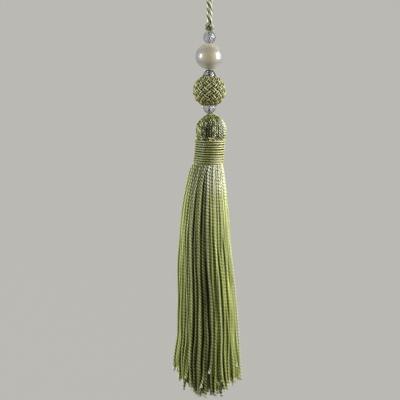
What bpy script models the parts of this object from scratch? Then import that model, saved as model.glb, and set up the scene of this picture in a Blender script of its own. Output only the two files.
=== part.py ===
"""Beaded tassel: a hanging loop, a knot, glass and pearl beads, a woven ball and a bound tassel.

Metres, +Z up. The origin is the inside of the loop's crown, where the tassel hangs from its hook.
The tassel's front faces -Y.
"""

import math
import random

import bmesh
import bpy
import numpy as np
from mathutils import Vector

MM = 0.001
GAP = 0.3 * MM  # between pieces that touch

# Hanging cord: two legs twisted together that part into a loop
LEG_DIAMETER = 1.8 * MM
LEG_OFFSET = 0.95 * MM  # a leg's centre from the middle of the twist
TWIST_PITCH = 16 * MM
TWIST_TOP = -25 * MM  # height where the legs part
TWIST_STEP = math.radians(30)
LOOP_POINTS = 17  # along one side of the loop
CURVE_STEPS = 16  # of a smooth route between two of its own points

# One side of the loop above the twist, in mm: height, and half the loop's width there
LOOP_SIDE = (
    (-22.4, 1.55),
    (-18.0, 3.3),
    (-12.5, 5.4),
    (-7.5, 6.2),
    (-3.6, 5.3),
    (-0.8, 3.3),
    (0.9, 0.0),
)

# Knot
KNOT_Z = -45.4 * MM
KNOT_HALF = 2.15 * MM
KNOT_CORE_HALVES = (1.62 * MM, 1.5 * MM, 1.65 * MM)  # across, back and up
KNOT_CORD_DIAMETER = 1.7 * MM
KNOT_POINT_STEP = 0.95 * MM

# Routes of the two legs in the knot, in mm from its middle: across, back, up
KNOT_LEFT_LEG = (
    (-0.92, -0.23, 2.15),
    (-0.95, -0.25, 1.80),
    (-1.40, -0.55, 1.25),
    (-2.00, -0.50, 0.15),
    (-1.60, -0.20, -0.90),
    (-0.75, 0.00, -1.45),
    (-0.60, 0.00, -2.15),
)
KNOT_RIGHT_LEG = (
    (0.92, 0.23, 2.15),
    (0.92, 0.20, 1.65),
    (0.80, -0.35, 1.15),
    (0.95, -0.90, 0.85),
    (1.70, -0.65, 0.55),
    (1.95, 0.35, 0.00),
    (0.75, 1.25, -0.35),
    (-0.60, 0.85, -0.55),
    (-0.45, -0.60, -0.85),
    (0.85, -1.00, -0.95),
    (1.60, -0.25, -1.00),
    (0.90, 0.10, -1.12),
    (0.60, 0.00, -2.15),
)

# Beads
BORE_RADIUS = 1.15 * MM
BORE_SIDES = 12
DRILL_LENGTH = 10 * MM
STRINGING_RADIUS = 0.85 * MM
STRINGING_POINTS = 10
CRYSTAL_HALF = 3.45 * MM
CRYSTAL_SIDES = 10
PEARL_RADIUS = 8.05 * MM
PEARL_HALF = 7.5 * MM
PEARL_STEPS = 28
PEARL_ARC_POINTS = 15

# Rings of corners on a glass bead, in mm: height from its middle, radius. Each ring is turned by
# half a facet against the next.
CRYSTAL_RINGS = (
    (3.45, 1.75),
    (2.24, 3.0),
    (0.0, 4.0),
    (-2.24, 3.0),
    (-3.45, 1.75),
)

# Woven ball: bands of thread that cross over and under, and a hole at each pole that seats a bead
BALL_RADIUS = 9.85 * MM
BALL_RELIEF = 0.95 * MM
BALL_BIGHTS = 12  # bands of one direction that cross the equator
BALL_LEADS = 11  # crossings from one pole to the other, plus one
BALL_RIM = math.radians(27.8)  # polar angle of the hole's rim
SAMPLES_PER_BAND = 4
BAND_ROUNDNESS = 0.7  # power of the cosine across a band
BAND_FLOOR = 1.25  # height of a band's middle between crossings, where it dips and rises by 1
CRYSTAL_SEAT_ABOVE = 8.8 * MM  # glass bead's middle from the ball's middle
CRYSTAL_SEAT_BELOW = 9.6 * MM
SEAT_LIP_RADIUS = 4.35 * MM
SEAT_LIP_Z = 8.2 * MM
SEAT_WAIST_RADIUS = 3.35 * MM
SEAT_WAIST_RISE = 1.4 * MM  # above the seat's floor
SEAT_FLOOR_RADIUS = 2.15 * MM

# Binding: a sleeve with one rib for each turn
LEAN = math.radians(4.5)  # the head leans to the right of the skirt
BINDING_DEPTH = 22.2 * MM  # its middle below the top of the head
BINDING_TURNS = 10
BINDING_HALF = 7.65 * MM
BINDING_INNER = 7.95 * MM
BINDING_OUTER = 9.15 * MM
BINDING_WAIST = 0.3 * MM  # how far its middle is drawn in
BINDING_GROOVE = 0.45 * MM
BINDING_STEPS = 28

# Tassel: head, neck and locks, all grown from one square grid of cells drawn as a disc
LOCKS_ACROSS = 14
GRID_TURN = math.radians(25)  # so that no row of locks lines up with the front
NECK_RADIUS = BINDING_INNER - GAP
NECK_REACH = BINDING_HALF + GAP  # of the neck above and below the binding's middle
LOCK_SHARE = 0.6  # of its cell that a lock fills
TIP_SHARE = 0.6  # of its width that a lock keeps at the tip
LOCK_JOINTS = (  # mm below the top of the head: by cells from the tassel's edge, outermost first
    (34.0, 48.0, 75.0, 120.0),
    (34.0, 54.0, 112.0),
    (34.0, 54.0, 112.0),
    (34.0, 56.0),
)
LOCK_DRIFT = 0.05  # of a cell, sideways
TIP_RAGGEDNESS = 1.4 * MM
RIB_DEPTH = 0.45 * MM
RIB_FADE = 5 * MM  # half thickness of the head below which its ribs and cleft fade out
CLEFT_DEPTH = 1.5 * MM
CLEFT_WIDTH = math.radians(11)

# Head above the binding, in mm and degrees: depth below the top, reach to the left and to the
# right of the cord, half the thickness front to back, lean, share of the cleft
HEAD_SECTIONS = (
    (13.9, 7.2, 9.0, 8.0, 4.5, 0.5),
    (12.6, 7.9, 10.1, 8.9, 4.5, 1.0),
    (10.2, 8.1, 10.3, 9.1, 4.5, 1.0),
    (7.6, 7.8, 10.25, 8.8, 4.0, 1.0),
    (5.4, 6.7, 9.3, 7.8, 3.0, 0.7),
    (3.6, 5.4, 8.1, 6.6, 2.0, 0.3),
    (2.0, 3.8, 6.3, 4.9, 1.0, 0.0),
    (0.7, 2.1, 3.9, 2.9, 0.0, 0.0),
    (0.0, 1.3, 1.7, 1.5, 0.0, 0.0),
)

# Skirt below the binding, in mm and degrees: depth below the top of the head, reach to the left
# and to the right of the cord, half the thickness front to back, lean
SKIRT_SECTIONS = (
    (34.0, 11.5, 8.6, 9.8, 4.5),
    (44.6, 14.3, 9.8, 11.4, 3.6),
    (57.0, 16.5, 11.1, 12.9, 2.6),
    (69.4, 17.8, 12.0, 13.9, 1.8),
    (88.9, 18.8, 13.6, 14.9, 1.0),
    (110.0, 18.9, 15.9, 15.8, 0.6),
    (131.0, 19.6, 17.5, 16.6, 0.2),
    (145.5, 21.6, 18.3, 17.2, 0.0),
    (166.0, 22.2, 19.4, 17.8, 0.0),
)

# Hem, in mm: place across the skirt from -1 on the left to 1 on the right, depth of the tips
HEM = (
    (-1.0, 148.0),
    (-0.85, 157.0),
    (-0.6, 161.5),
    (-0.3, 164.5),
    (0.3, 165.0),
    (0.6, 162.0),
    (0.85, 159.5),
    (1.0, 156.5),
)
HEM_RISE_FRONT = 4.0 * MM  # how much shorter the locks at the front and back hang

# Heights, each piece seated on the one above it
CRYSTAL_TOP_Z = KNOT_Z - KNOT_HALF - GAP - CRYSTAL_HALF
PEARL_Z = CRYSTAL_TOP_Z - CRYSTAL_HALF - GAP - PEARL_HALF
CRYSTAL_MIDDLE_Z = PEARL_Z - PEARL_HALF - GAP - CRYSTAL_HALF
BALL_Z = CRYSTAL_MIDDLE_Z - CRYSTAL_SEAT_ABOVE
CRYSTAL_BOTTOM_Z = BALL_Z - CRYSTAL_SEAT_BELOW
HEAD_TOP_Z = CRYSTAL_BOTTOM_Z - CRYSTAL_HALF - GAP
BINDING_Z = HEAD_TOP_Z - BINDING_DEPTH


def new_collection(name):
    collection = bpy.data.collections.new(name)
    bpy.context.scene.collection.children.link(collection)
    return collection


def add_object(name, data, collection, location=(0, 0, 0)):
    new = bpy.data.objects.new(name, data)
    new.location = location
    collection.objects.link(new)
    return new


def mesh_from(bm, name):
    """Ends a bmesh: its faces turned outward, and kept as a mesh."""
    bmesh.ops.recalc_face_normals(bm, faces=bm.faces)
    mesh = bpy.data.meshes.new(name)
    bm.to_mesh(mesh)
    bm.free()
    return mesh


def set_material(piece, colour, roughness, metallic=0.0):
    material = bpy.data.materials.new(piece.name)
    material.use_nodes = True
    shader = material.node_tree.nodes["Principled BSDF"]
    shader.inputs["Base Color"].default_value = (*colour, 1.0)
    shader.inputs["Roughness"].default_value = roughness
    shader.inputs["Metallic"].default_value = metallic
    piece.data.materials.clear()
    piece.data.materials.append(material)


def shade_smooth(piece, sharp_angle):
    piece.data.shade_smooth()
    piece.data.set_sharp_from_angle(angle=math.radians(sharp_angle))


def smooth_route(points, count):
    """Evenly spaced points on a smooth curve (Catmull-Rom) through a route's own points."""
    ends = [2 * points[0] - points[1], *points, 2 * points[-1] - points[-2]]
    fine = []
    for before, start, end, after in zip(ends, ends[1:], ends[2:], ends[3:]):
        for t in np.linspace(0, 1, CURVE_STEPS, endpoint=False):
            fine.append(
                0.5
                * (
                    2 * start
                    + (end - before) * t
                    + (2 * before - 5 * start + 4 * end - after) * t**2
                    + (3 * start - before - 3 * end + after) * t**3
                )
            )
    fine.append(points[-1])
    steps = [(b - a).length for a, b in zip(fine, fine[1:])]
    along = np.concatenate([[0], np.cumsum(steps)])
    places = np.linspace(0, along[-1], count)
    axes = [np.interp(places, along, [p[axis] for p in fine]) for axis in range(3)]
    return [Vector(place) for place in zip(*axes)]


def tube(name, route, diameter, collection, resolution=2):
    """A round tube along a route, as a curve with filled caps."""
    curve = bpy.data.curves.new(name, "CURVE")
    curve.dimensions = "3D"
    curve.bevel_depth = diameter / 2
    curve.bevel_resolution = resolution
    curve.use_fill_caps = True
    spline = curve.splines.new("POLY")
    spline.points.add(len(route) - 1)
    for point, place in zip(spline.points, route):
        point.co = (*place, 1.0)
    return add_object(name, curve, collection)


def as_mesh(curve_object, collection):
    """Replaces a curve by its welded mesh, so that it can be cut or joined."""
    name = curve_object.name
    evaluated = curve_object.evaluated_get(bpy.context.evaluated_depsgraph_get())
    mesh = bpy.data.meshes.new_from_object(evaluated)
    bm = bmesh.new()
    bm.from_mesh(mesh)
    bmesh.ops.remove_doubles(bm, verts=bm.verts, dist=0.001 * MM)
    bm.to_mesh(mesh)
    bm.free()
    matrix = curve_object.matrix_world.copy()
    bpy.data.objects.remove(curve_object)
    new = add_object(name, mesh, collection)
    new.matrix_world = matrix
    return new


def add_boolean(piece, operand, operation):
    operand.hide_render = True
    operand.display_type = "WIRE"
    modifier = piece.modifiers.new(operand.name, "BOOLEAN")
    modifier.operation = operation
    modifier.object = operand
    modifier.use_self = operation == "UNION"  # a leg's own turns touch


def turned(name, profile, steps, collection, location=(0, 0, 0)):
    """A closed profile of (radius, height) points, turned once round Z."""
    bm = bmesh.new()
    corners = [bm.verts.new((radius, 0, height)) for radius, height in profile]
    for a, b in zip(corners, corners[1:] + corners[:1]):
        bm.edges.new((a, b))
    mesh = bpy.data.meshes.new(name)
    bm.to_mesh(mesh)
    bm.free()
    piece = add_object(name, mesh, collection, location)
    screw = piece.modifiers.new("turn", "SCREW")
    screw.steps = steps
    screw.render_steps = steps
    screw.use_merge_vertices = True
    screw.merge_threshold = 0.001 * MM
    return piece


def build_hanging_cord(collection):
    """One tube: up one leg of the twist, round the loop, and down the other leg."""
    foot = KNOT_Z + KNOT_HALF + GAP
    turn = 2 * math.pi * (TWIST_TOP - foot) / TWIST_PITCH
    side = []
    for angle in np.arange(turn, 0, -TWIST_STEP):
        height = TWIST_TOP - angle / (2 * math.pi) * TWIST_PITCH
        across = LEG_OFFSET * math.cos(angle)
        side.append(Vector((across, LEG_OFFSET * math.sin(angle), height)))
    side[0].xy = side[1].xy  # the leg ends upright, on the knot
    twist_points = len(side)
    side.append(Vector((LEG_OFFSET, 0, TWIST_TOP)))
    side += [Vector((half_width, 0, height)) * MM for height, half_width in LOOP_SIDE]
    other_side = [Vector((-place.x, -place.y, place.z)) for place in side[-2::-1]]
    route = smooth_route(side + other_side, 2 * (twist_points + LOOP_POINTS) + 1)
    cord = tube("hanging_cord", route, LEG_DIAMETER, collection)
    set_material(cord, (0.45, 0.47, 0.30), 0.5)


def build_knot(collection, cutters):
    """The two legs wound round each other and round the knot's own core."""
    middle = Vector((0, 0, KNOT_Z))
    bm = bmesh.new()
    bmesh.ops.create_icosphere(bm, subdivisions=2, radius=1.0)
    bmesh.ops.scale(bm, vec=KNOT_CORE_HALVES, verts=bm.verts)
    knot = add_object("knot", mesh_from(bm, "knot"), collection, middle)
    knot.data.shade_smooth()
    for name, points in (("knot_left_leg", KNOT_LEFT_LEG), ("knot_right_leg", KNOT_RIGHT_LEG)):
        places = [middle + Vector(point) * MM for point in points]
        length = sum((b - a).length for a, b in zip(places, places[1:]))
        route = smooth_route(places, round(length / KNOT_POINT_STEP) + 1)
        leg = as_mesh(tube(name, route, KNOT_CORD_DIAMETER, cutters), cutters)
        add_boolean(knot, leg, "UNION")
    set_material(knot, (0.36, 0.38, 0.20), 0.55)


def build_stringing_cord(collection):
    top = CRYSTAL_TOP_Z + CRYSTAL_HALF - GAP / 3
    bottom = HEAD_TOP_Z + GAP
    route = [Vector((0, 0, height)) for height in np.linspace(top, bottom, STRINGING_POINTS)]
    cord = tube("stringing_cord", route, 2 * STRINGING_RADIUS, collection)
    set_material(cord, (0.20, 0.22, 0.10), 0.6)


def build_crystal(name, height, collection, cutters):
    """A cut glass bead: the hull round staggered rings of corners, drilled through."""
    bm = bmesh.new()
    for number, (ring_height, radius) in enumerate(CRYSTAL_RINGS):
        for side in range(CRYSTAL_SIDES):
            angle = 2 * math.pi * (side + number / 2) / CRYSTAL_SIDES
            place = (radius * math.cos(angle), radius * math.sin(angle), ring_height)
            bm.verts.new(Vector(place) * MM)
    bmesh.ops.convex_hull(bm, input=bm.verts)
    bead = add_object(name, mesh_from(bm, name), collection, (0, 0, height))
    drill = bmesh.new()
    bmesh.ops.create_cone(
        drill,
        cap_ends=True,
        segments=BORE_SIDES,
        radius1=BORE_RADIUS,
        radius2=BORE_RADIUS,
        depth=DRILL_LENGTH,
    )
    drill_name = name + "_drill"
    cutter = add_object(drill_name, mesh_from(drill, drill_name), cutters, (0, 0, height))
    add_boolean(bead, cutter, "DIFFERENCE")
    set_material(bead, (0.86, 0.87, 0.90), 0.05)


def build_pearl(collection):
    """A sphere a little flat at its drilled poles."""
    start = math.asin(BORE_RADIUS / PEARL_RADIUS)
    profile = [
        (PEARL_RADIUS * math.sin(polar), PEARL_HALF * math.cos(polar) / math.cos(start))
        for polar in np.linspace(start, math.pi - start, PEARL_ARC_POINTS)
    ]
    pearl = turned("pearl", profile, PEARL_STEPS, collection, (0, 0, PEARL_Z))
    set_material(pearl, (0.83, 0.80, 0.72), 0.25)


def weave_height(across, down):
    """From 0 to 1: how high the upper band stands where two sets of bands cross.

    across counts bands along the equator, down counts crossings from the upper rim.
    """
    rising = across + down / 2
    falling = across - down / 2
    heights = []
    for band, other, sign in ((rising, falling, 1), (falling, rising, -1)):
        middle = round(band)
        profile = max(0.0, math.cos(math.pi * (band - middle))) ** BAND_ROUNDNESS
        swell = BAND_FLOOR + sign * math.cos(math.pi * (middle + other))
        heights.append(profile * swell / (BAND_FLOOR + 1))
    return max(heights)


def woven_place(column, row):
    """A point of the ball's woven face. Rows are half a crossing apart, from the upper rim."""
    share = row / (2 * BALL_LEADS)
    polar = BALL_RIM + (math.pi - 2 * BALL_RIM) * share
    lift = weave_height(column / SAMPLES_PER_BAND, share * BALL_LEADS)
    radius = BALL_RADIUS - BALL_RELIEF * (1 - lift)
    return radius * math.sin(polar), radius * math.cos(polar)


def build_woven_ball(collection):
    """Rings of points from the upper rim to the lower one, then back up through the bore."""
    sides = BALL_BIGHTS * SAMPLES_PER_BAND
    rows = 2 * BALL_LEADS
    floor_below = CRYSTAL_SEAT_BELOW - CRYSTAL_HALF - GAP
    floor_above = CRYSTAL_SEAT_ABOVE - CRYSTAL_HALF - GAP
    inside = (
        (SEAT_LIP_RADIUS, -SEAT_LIP_Z),
        (SEAT_WAIST_RADIUS, -floor_below - SEAT_WAIST_RISE),
        (SEAT_FLOOR_RADIUS, -floor_below),
        (BORE_RADIUS, -floor_below),
        (BORE_RADIUS, floor_above),
        (SEAT_FLOOR_RADIUS, floor_above),
        (SEAT_WAIST_RADIUS, floor_above + SEAT_WAIST_RISE),
        (SEAT_LIP_RADIUS, SEAT_LIP_Z),
    )
    bm = bmesh.new()
    rings = []
    for row in range(rows + 1 + len(inside)):
        if row == 0:
            circle = bmesh.ops.create_circle(bm, segments=sides, radius=1.0)["verts"]
            ring = sorted(circle, key=lambda vert: math.atan2(vert.co.y, vert.co.x))
        else:
            edges = [bm.edges.get((a, b)) for a, b in zip(ring, ring[1:] + ring[:1])]
            bmesh.ops.extrude_edge_only(bm, edges=edges)
            ring = [vert.link_edges[-1].other_vert(vert) for vert in ring]
        for column, vert in enumerate(ring):
            angle = 2 * math.pi * column / sides
            radius, height = woven_place(column, row) if row <= rows else inside[row - rows - 1]
            vert.co = (radius * math.cos(angle), radius * math.sin(angle), height)
        rings.append(ring)
    bmesh.ops.bridge_loops(
        bm,
        edges=[
            bm.edges.get((a, b)) for ring in (rings[-1], rings[0])
            for a, b in zip(ring, ring[1:] + ring[:1])
        ],
    )
    for row in range(rows):  # each face is split along the band that lies on top there
        upper, lower = rings[row], rings[row + 1]
        rising_on_top = math.ceil(row / 2) % 2 == 0
        for column in range(sides):
            after = (column + 1) % sides
            if rising_on_top:
                bmesh.ops.connect_verts(bm, verts=[lower[column], upper[after]])
            else:
                bmesh.ops.connect_verts(bm, verts=[upper[column], lower[after]])
    ball = add_object("woven_ball", mesh_from(bm, "woven_ball"), collection, (0, 0, BALL_Z))
    shade_smooth(ball, sharp_angle=60)
    set_material(ball, (0.26, 0.26, 0.12), 0.5)


def build_binding(collection):
    """A sleeve round the neck, with one rib for each turn of thread."""
    profile = [(BINDING_INNER, BINDING_HALF)]
    for half_turn in range(2 * BINDING_TURNS + 1):
        height = BINDING_HALF * (1 - half_turn / BINDING_TURNS)
        drawn_in = BINDING_WAIST * (1 - (height / BINDING_HALF) ** 2)
        groove = 0.0 if half_turn % 2 else BINDING_GROOVE
        profile.append((BINDING_OUTER - drawn_in - groove, height))
    profile.append((BINDING_INNER, -BINDING_HALF))
    binding = turned("binding", profile, BINDING_STEPS, collection, (0, 0, BINDING_Z))
    binding.rotation_euler.y = LEAN
    set_material(binding, (0.24, 0.25, 0.11), 0.5)


def on_disc(u, v):
    """The point of the unit disc for a point of the square from -1 to 1, with even cells."""
    if u == 0 and v == 0:
        return 0.0, 0.0
    if abs(u) > abs(v):
        radius, angle = u, math.pi / 4 * v / u
    else:
        radius, angle = v, math.pi / 2 - math.pi / 4 * u / v
    return radius * math.cos(angle + GRID_TURN), radius * math.sin(angle + GRID_TURN)


def on_section(across, back, section):
    """A point of the unit disc, placed on a section of the tassel."""
    depth, left, right, thickness, lean = section
    reach = (left + right) / 2 * across
    tilt = math.radians(lean)
    x = (right - left) / 2 + reach * math.cos(tilt)
    return Vector((x, thickness * back, -depth - reach * math.sin(tilt))) * MM


def on_neck(across, back, height):
    """A point of the unit disc, placed in the neck at a height from the binding's middle."""
    x = height * math.sin(LEAN) + NECK_RADIUS * across * math.cos(LEAN)
    z = height * math.cos(LEAN) - NECK_RADIUS * across * math.sin(LEAN)
    return Vector((x, NECK_RADIUS * back, z - BINDING_DEPTH))


def on_head(across, back, section):
    """A point of the rim of the unit disc, placed on the head: ribs of folded strands, cleft."""
    *shape, cleft_share = section
    angle = math.atan2(back, across)
    ribs = RIB_DEPTH * (1 - math.cos(2 * LOCKS_ACROSS * (angle - GRID_TURN))) / 2
    from_cleft = abs(abs(angle) - math.pi / 2) / CLEFT_WIDTH
    cut = CLEFT_DEPTH * cleft_share * math.exp(-(from_cleft**2))
    thickness = shape[3] * MM
    share = min(1.0, thickness / RIB_FADE)
    kept = 1 - share * (ribs + cut) / thickness
    return on_section(across * kept, back * kept, shape)


def skirt_section(depth):
    """The section of the skirt at a depth in mm."""
    table = np.array(SKIRT_SECTIONS)
    shape = [np.interp(depth, table[:, 0], table[:, column]) for column in range(1, 5)]
    return depth, *shape


def lock_joints(place):
    """The joints of the lock that grows from a place in the square."""
    from_edge = int((1 - max(abs(place[0]), abs(place[1]))) / (2 / LOCKS_ACROSS))
    return LOCK_JOINTS[min(from_edge, len(LOCK_JOINTS) - 1)]


def tip_depth(across, back, raggedness):
    """Depth in mm of a lock's tip."""
    places, depths = zip(*HEM)
    middle_depth = max(depths)
    rise = middle_depth - np.interp(across, places, depths)
    rise = math.hypot(rise, HEM_RISE_FRONT / MM * back**2)
    return middle_depth - rise + raggedness / MM


def build_tassel(collection):
    """Grows the locks down and the head up from a square grid, then hangs every point.

    While it grows, a point's X and Y are its place in the square and its Z is its level: 0 for
    the roots, then 1, 2 and so on up the head, and -1, -2 and so on down the locks.
    """
    bm = bmesh.new()
    bmesh.ops.create_grid(bm, x_segments=LOCKS_ACROSS, y_segments=LOCKS_ACROSS, size=1.0)
    cells = list(bm.faces)
    rim = [edge for edge in bm.edges if edge.is_boundary]
    levels_up = len(HEAD_SECTIONS) + 1
    for _ in range(levels_up):
        grown = bmesh.ops.extrude_edge_only(bm, edges=rim)["geom"]
        rim = [item for item in grown if isinstance(item, bmesh.types.BMEdge)]
        rim_points = list({vert for edge in rim for vert in edge.verts})
        bmesh.ops.translate(bm, vec=(0, 0, 1), verts=rim_points)
    bmesh.ops.contextual_create(bm, geom=rim)

    cell = 2 / LOCKS_ACROSS
    bmesh.ops.inset_individual(bm, faces=cells, thickness=cell * (1 - LOCK_SHARE) / 2)
    groups = {joints: [] for joints in LOCK_JOINTS}
    for face in cells:
        groups[lock_joints(face.calc_center_median())].append(face)
    for joints, locks in groups.items():
        for _ in range(len(joints) + 1):
            locks = bmesh.ops.extrude_discrete_faces(bm, faces=locks)["faces"]
            points = [vert for face in locks for vert in face.verts]
            bmesh.ops.translate(bm, vec=(0, 0, -1), verts=points)
        for face in locks:
            middle = face.calc_center_median()
            for vert in face.verts:
                vert.co = middle + (vert.co - middle) * TIP_SHARE

    drift = random.Random(7)
    cells_of_locks = [(i, j) for i in range(LOCKS_ACROSS) for j in range(LOCKS_ACROSS)]
    sideways = {
        at: (drift.uniform(-1, 1) * LOCK_DRIFT * cell, drift.uniform(-1, 1) * LOCK_DRIFT * cell)
        for at in cells_of_locks
    }
    raggedness = {at: drift.uniform(-1, 1) * TIP_RAGGEDNESS for at in cells_of_locks}

    def hang(u, v, level):
        if level > 1:
            return on_head(*on_disc(u, v), HEAD_SECTIONS[level - 2])
        if level >= 0:
            return on_neck(*on_disc(u, v), (2 * level - 1) * NECK_REACH)
        at = (int((u + 1) / cell), int((v + 1) / cell))
        shift = sideways[at] if level < -1 else (0, 0)
        across, back = on_disc(u + shift[0], v + shift[1])
        joints = lock_joints((u, v))
        if -level > len(joints):
            depth = tip_depth(across, back, raggedness[at])
        else:
            depth = joints[-level - 1]
        return on_section(across, back, skirt_section(depth))

    for vert in bm.verts:
        vert.co = hang(vert.co.x, vert.co.y, round(vert.co.z))
    tassel = add_object("tassel", mesh_from(bm, "tassel"), collection, (0, 0, HEAD_TOP_Z))
    shade_smooth(tassel, sharp_angle=45)
    set_material(tassel, (0.25, 0.28, 0.10), 0.5)


def build():
    for old in list(bpy.data.objects):
        bpy.data.objects.remove(old)
    parts = new_collection("beaded_tassel")
    cutters = new_collection("cutters")
    build_hanging_cord(parts)
    build_knot(parts, cutters)
    build_stringing_cord(parts)
    build_crystal("crystal_top", CRYSTAL_TOP_Z, parts, cutters)
    build_pearl(parts)
    build_crystal("crystal_middle", CRYSTAL_MIDDLE_Z, parts, cutters)
    build_woven_ball(parts)
    build_crystal("crystal_bottom", CRYSTAL_BOTTOM_Z, parts, cutters)
    build_binding(parts)
    build_tassel(parts)


build()
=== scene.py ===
"""Beaded tassel: the looks of its loop, knot, beads, woven ball, bound head and skirt.

Metres, +Z up. The origin is the inside of the loop's crown, and the tassel's front faces -Y.
"""

import math

import bmesh
import bpy
import numpy as np
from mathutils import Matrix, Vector


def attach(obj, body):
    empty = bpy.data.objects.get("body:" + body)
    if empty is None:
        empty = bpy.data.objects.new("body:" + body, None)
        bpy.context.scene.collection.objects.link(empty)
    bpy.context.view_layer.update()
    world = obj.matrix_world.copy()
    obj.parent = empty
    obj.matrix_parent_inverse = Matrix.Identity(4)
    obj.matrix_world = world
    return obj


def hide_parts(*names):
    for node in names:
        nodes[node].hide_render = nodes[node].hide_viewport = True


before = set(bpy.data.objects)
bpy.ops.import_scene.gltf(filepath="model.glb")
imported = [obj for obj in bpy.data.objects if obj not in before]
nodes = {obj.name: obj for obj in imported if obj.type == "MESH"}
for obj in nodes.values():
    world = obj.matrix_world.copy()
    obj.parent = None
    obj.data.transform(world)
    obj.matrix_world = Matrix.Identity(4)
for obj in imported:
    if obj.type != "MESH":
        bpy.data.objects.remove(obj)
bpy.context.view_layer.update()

# ---- Camera ----
# A long lens in front of the tassel and a little above it, level across. The loop's crown lies
# above its view, and the hem just inside it.

MM = 0.001
LENS = 180.0  # mm, on a sensor 36 mm wide
VIEW_WIDTH = 236 * MM  # seen at the tassel
VIEW_MIDDLE = Vector((-5.5, 0, -147.0)) * MM
VIEW_ABOVE = math.radians(6)

camera = bpy.data.objects.new("camera", bpy.data.cameras.new("camera"))
bpy.context.scene.collection.objects.link(camera)
bpy.context.scene.camera = camera
camera.data.lens = LENS
camera.data.clip_start = 0.05
camera.data.clip_end = 20
towards_camera = Vector((0, -math.cos(VIEW_ABOVE), math.sin(VIEW_ABOVE)))
camera.location = VIEW_MIDDLE + towards_camera * VIEW_WIDTH * LENS / camera.data.sensor_width
camera.rotation_euler = (-towards_camera).to_track_quat("-Z", "Y").to_euler()

# ---- Hanging cord ----
# One rayon cord of two plies, 1.8 mm thick. It leaves the knot, is twisted with itself for
# 18 mm, parts into the hanging loop and comes back down to the knot. In the twist the plies of
# both legs lie evenly round its middle, so it looks like one full rope of four.

LEG_DIAMETER = 1.8 * MM
LEG_OFFSET = 0.76 * MM  # a leg's centre from the middle of the twist
TWISTED_DIAMETER = 3.0 * MM  # of a leg in the twist, across its two plies
TWIST_PITCH = 16 * MM
TWIST_TOP = -25 * MM  # height where the legs part
TWIST_STEP = math.radians(30)
TWIST_LOOSENS = (-25.5, -21.0)  # heights in mm between which a leg shrinks to its own size
KNOT_Z = -45.4 * MM
CORD_FOOT_Z = KNOT_Z + 2.45 * MM  # where it leaves the knot
CORD_LAY = 9 * MM  # length in which its plies turn once round each other
CORD_POINT_STEP = 0.5 * MM
TWIST_SHADE = 0.8  # shade that a leg loses where no other leg lies beside it

# One side of the loop above the twist, in mm: height, and half the loop's width there
LOOP_SIDE = (
    (-22.4, 1.55),
    (-18.0, 3.3),
    (-12.5, 5.4),
    (-7.5, 6.2),
    (-3.6, 5.3),
    (-0.8, 3.3),
    (0.9, 0.0),
)


def linear(colour):
    """A hex sRGB colour as the linear values that shaders take, opaque."""
    parts = [int(colour[start:start + 2], 16) / 255 for start in (1, 3, 5)]
    return (*[c / 12.92 if c <= 0.04045 else ((c + 0.055) / 1.055) ** 2.4 for c in parts], 1.0)


def add_node(tree, kind, inputs=None, **settings):
    """Adds a node. Each input is given a value, or linked to another node's output."""
    node = tree.nodes.new(kind)
    for name, value in settings.items():
        setattr(node, name, value)
    for socket, value in (inputs or {}).items():
        if isinstance(value, bpy.types.NodeSocket):
            tree.links.new(value, node.inputs[socket])
        else:
            node.inputs[socket].default_value = value
    return node


def new_material(name):
    """A material with an empty node tree but for its shader."""
    material = bpy.data.materials.new(name)
    material.use_nodes = True
    return material, material.node_tree, material.node_tree.nodes["Principled BSDF"]


STREAKS_ALONG = 40.0  # streaks that follow each other down a piece's longest thread


def thread_material(name, deep, body, pale, filament, roughness, gloss):
    """Spun thread: each one has its own tone, and its filaments run along it.

    tone, from 0 to 1, goes from body to pale: the thread's own shade of the dye, with painted
    sheen added in places. shade is painted shade: how far a point lies down between plies or
    under other threads, and on some strands a darker dye; it draws the colour towards deep.
    filament is a filament's width as a share of the thread's, and lights the thread in fine
    streaks. gloss is how strongly the filaments shine: they stretch each highlight across the
    thread.
    """
    material, tree, shader = new_material(name)
    tone = add_node(tree, "ShaderNodeAttribute", attribute_name="tone")
    shade = add_node(tree, "ShaderNodeAttribute", attribute_name="shade")
    own = add_node(
        tree, "ShaderNodeMix", {0: tone.outputs["Fac"], 6: linear(body), 7: linear(pale)},
        data_type="RGBA",
    )
    streak_map = add_node(tree, "ShaderNodeUVMap", uv_map="OFBake")
    stretched = add_node(
        tree, "ShaderNodeMapping",
        {"Vector": streak_map.outputs["UV"], "Scale": (1 / filament, STREAKS_ALONG, 1.0)},
    )
    streaks = add_node(
        tree, "ShaderNodeTexNoise", {"Vector": stretched.outputs["Vector"], "Scale": 1.0}
    )
    contrast = add_node(
        tree, "ShaderNodeMapRange",
        {"Value": streaks.outputs["Fac"], "From Min": 0.3, "From Max": 0.7, "To Max": 0.35},
    )
    streaked = add_node(
        tree, "ShaderNodeMix",
        {0: contrast.outputs["Result"], 6: own.outputs[2], 7: linear(deep)},
        data_type="RGBA",
    )
    # Painted shade draws the colour towards deep
    shaded = add_node(
        tree, "ShaderNodeMix",
        {0: shade.outputs["Fac"], 6: streaked.outputs[2], 7: linear(deep)},
        data_type="RGBA",
    )
    tree.links.new(shaded.outputs[2], shader.inputs["Base Color"])
    matt = add_node(
        tree, "ShaderNodeMapRange",
        {"Value": shade.outputs["Fac"], "To Min": roughness, "To Max": 0.9},
    )
    tree.links.new(matt.outputs["Result"], shader.inputs["Roughness"])
    filaments = add_node(tree, "ShaderNodeTangent", direction_type="UV_MAP", uv_map="OFBake")
    tree.links.new(filaments.outputs["Tangent"], shader.inputs["Tangent"])
    shader.inputs["Anisotropic"].default_value = 0.7
    shader.inputs["IOR"].default_value = 1.6
    shader.inputs["Specular IOR Level"].default_value = gloss
    return material


CURVE_STEPS = 16  # of a smooth curve between two of its own points


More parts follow.
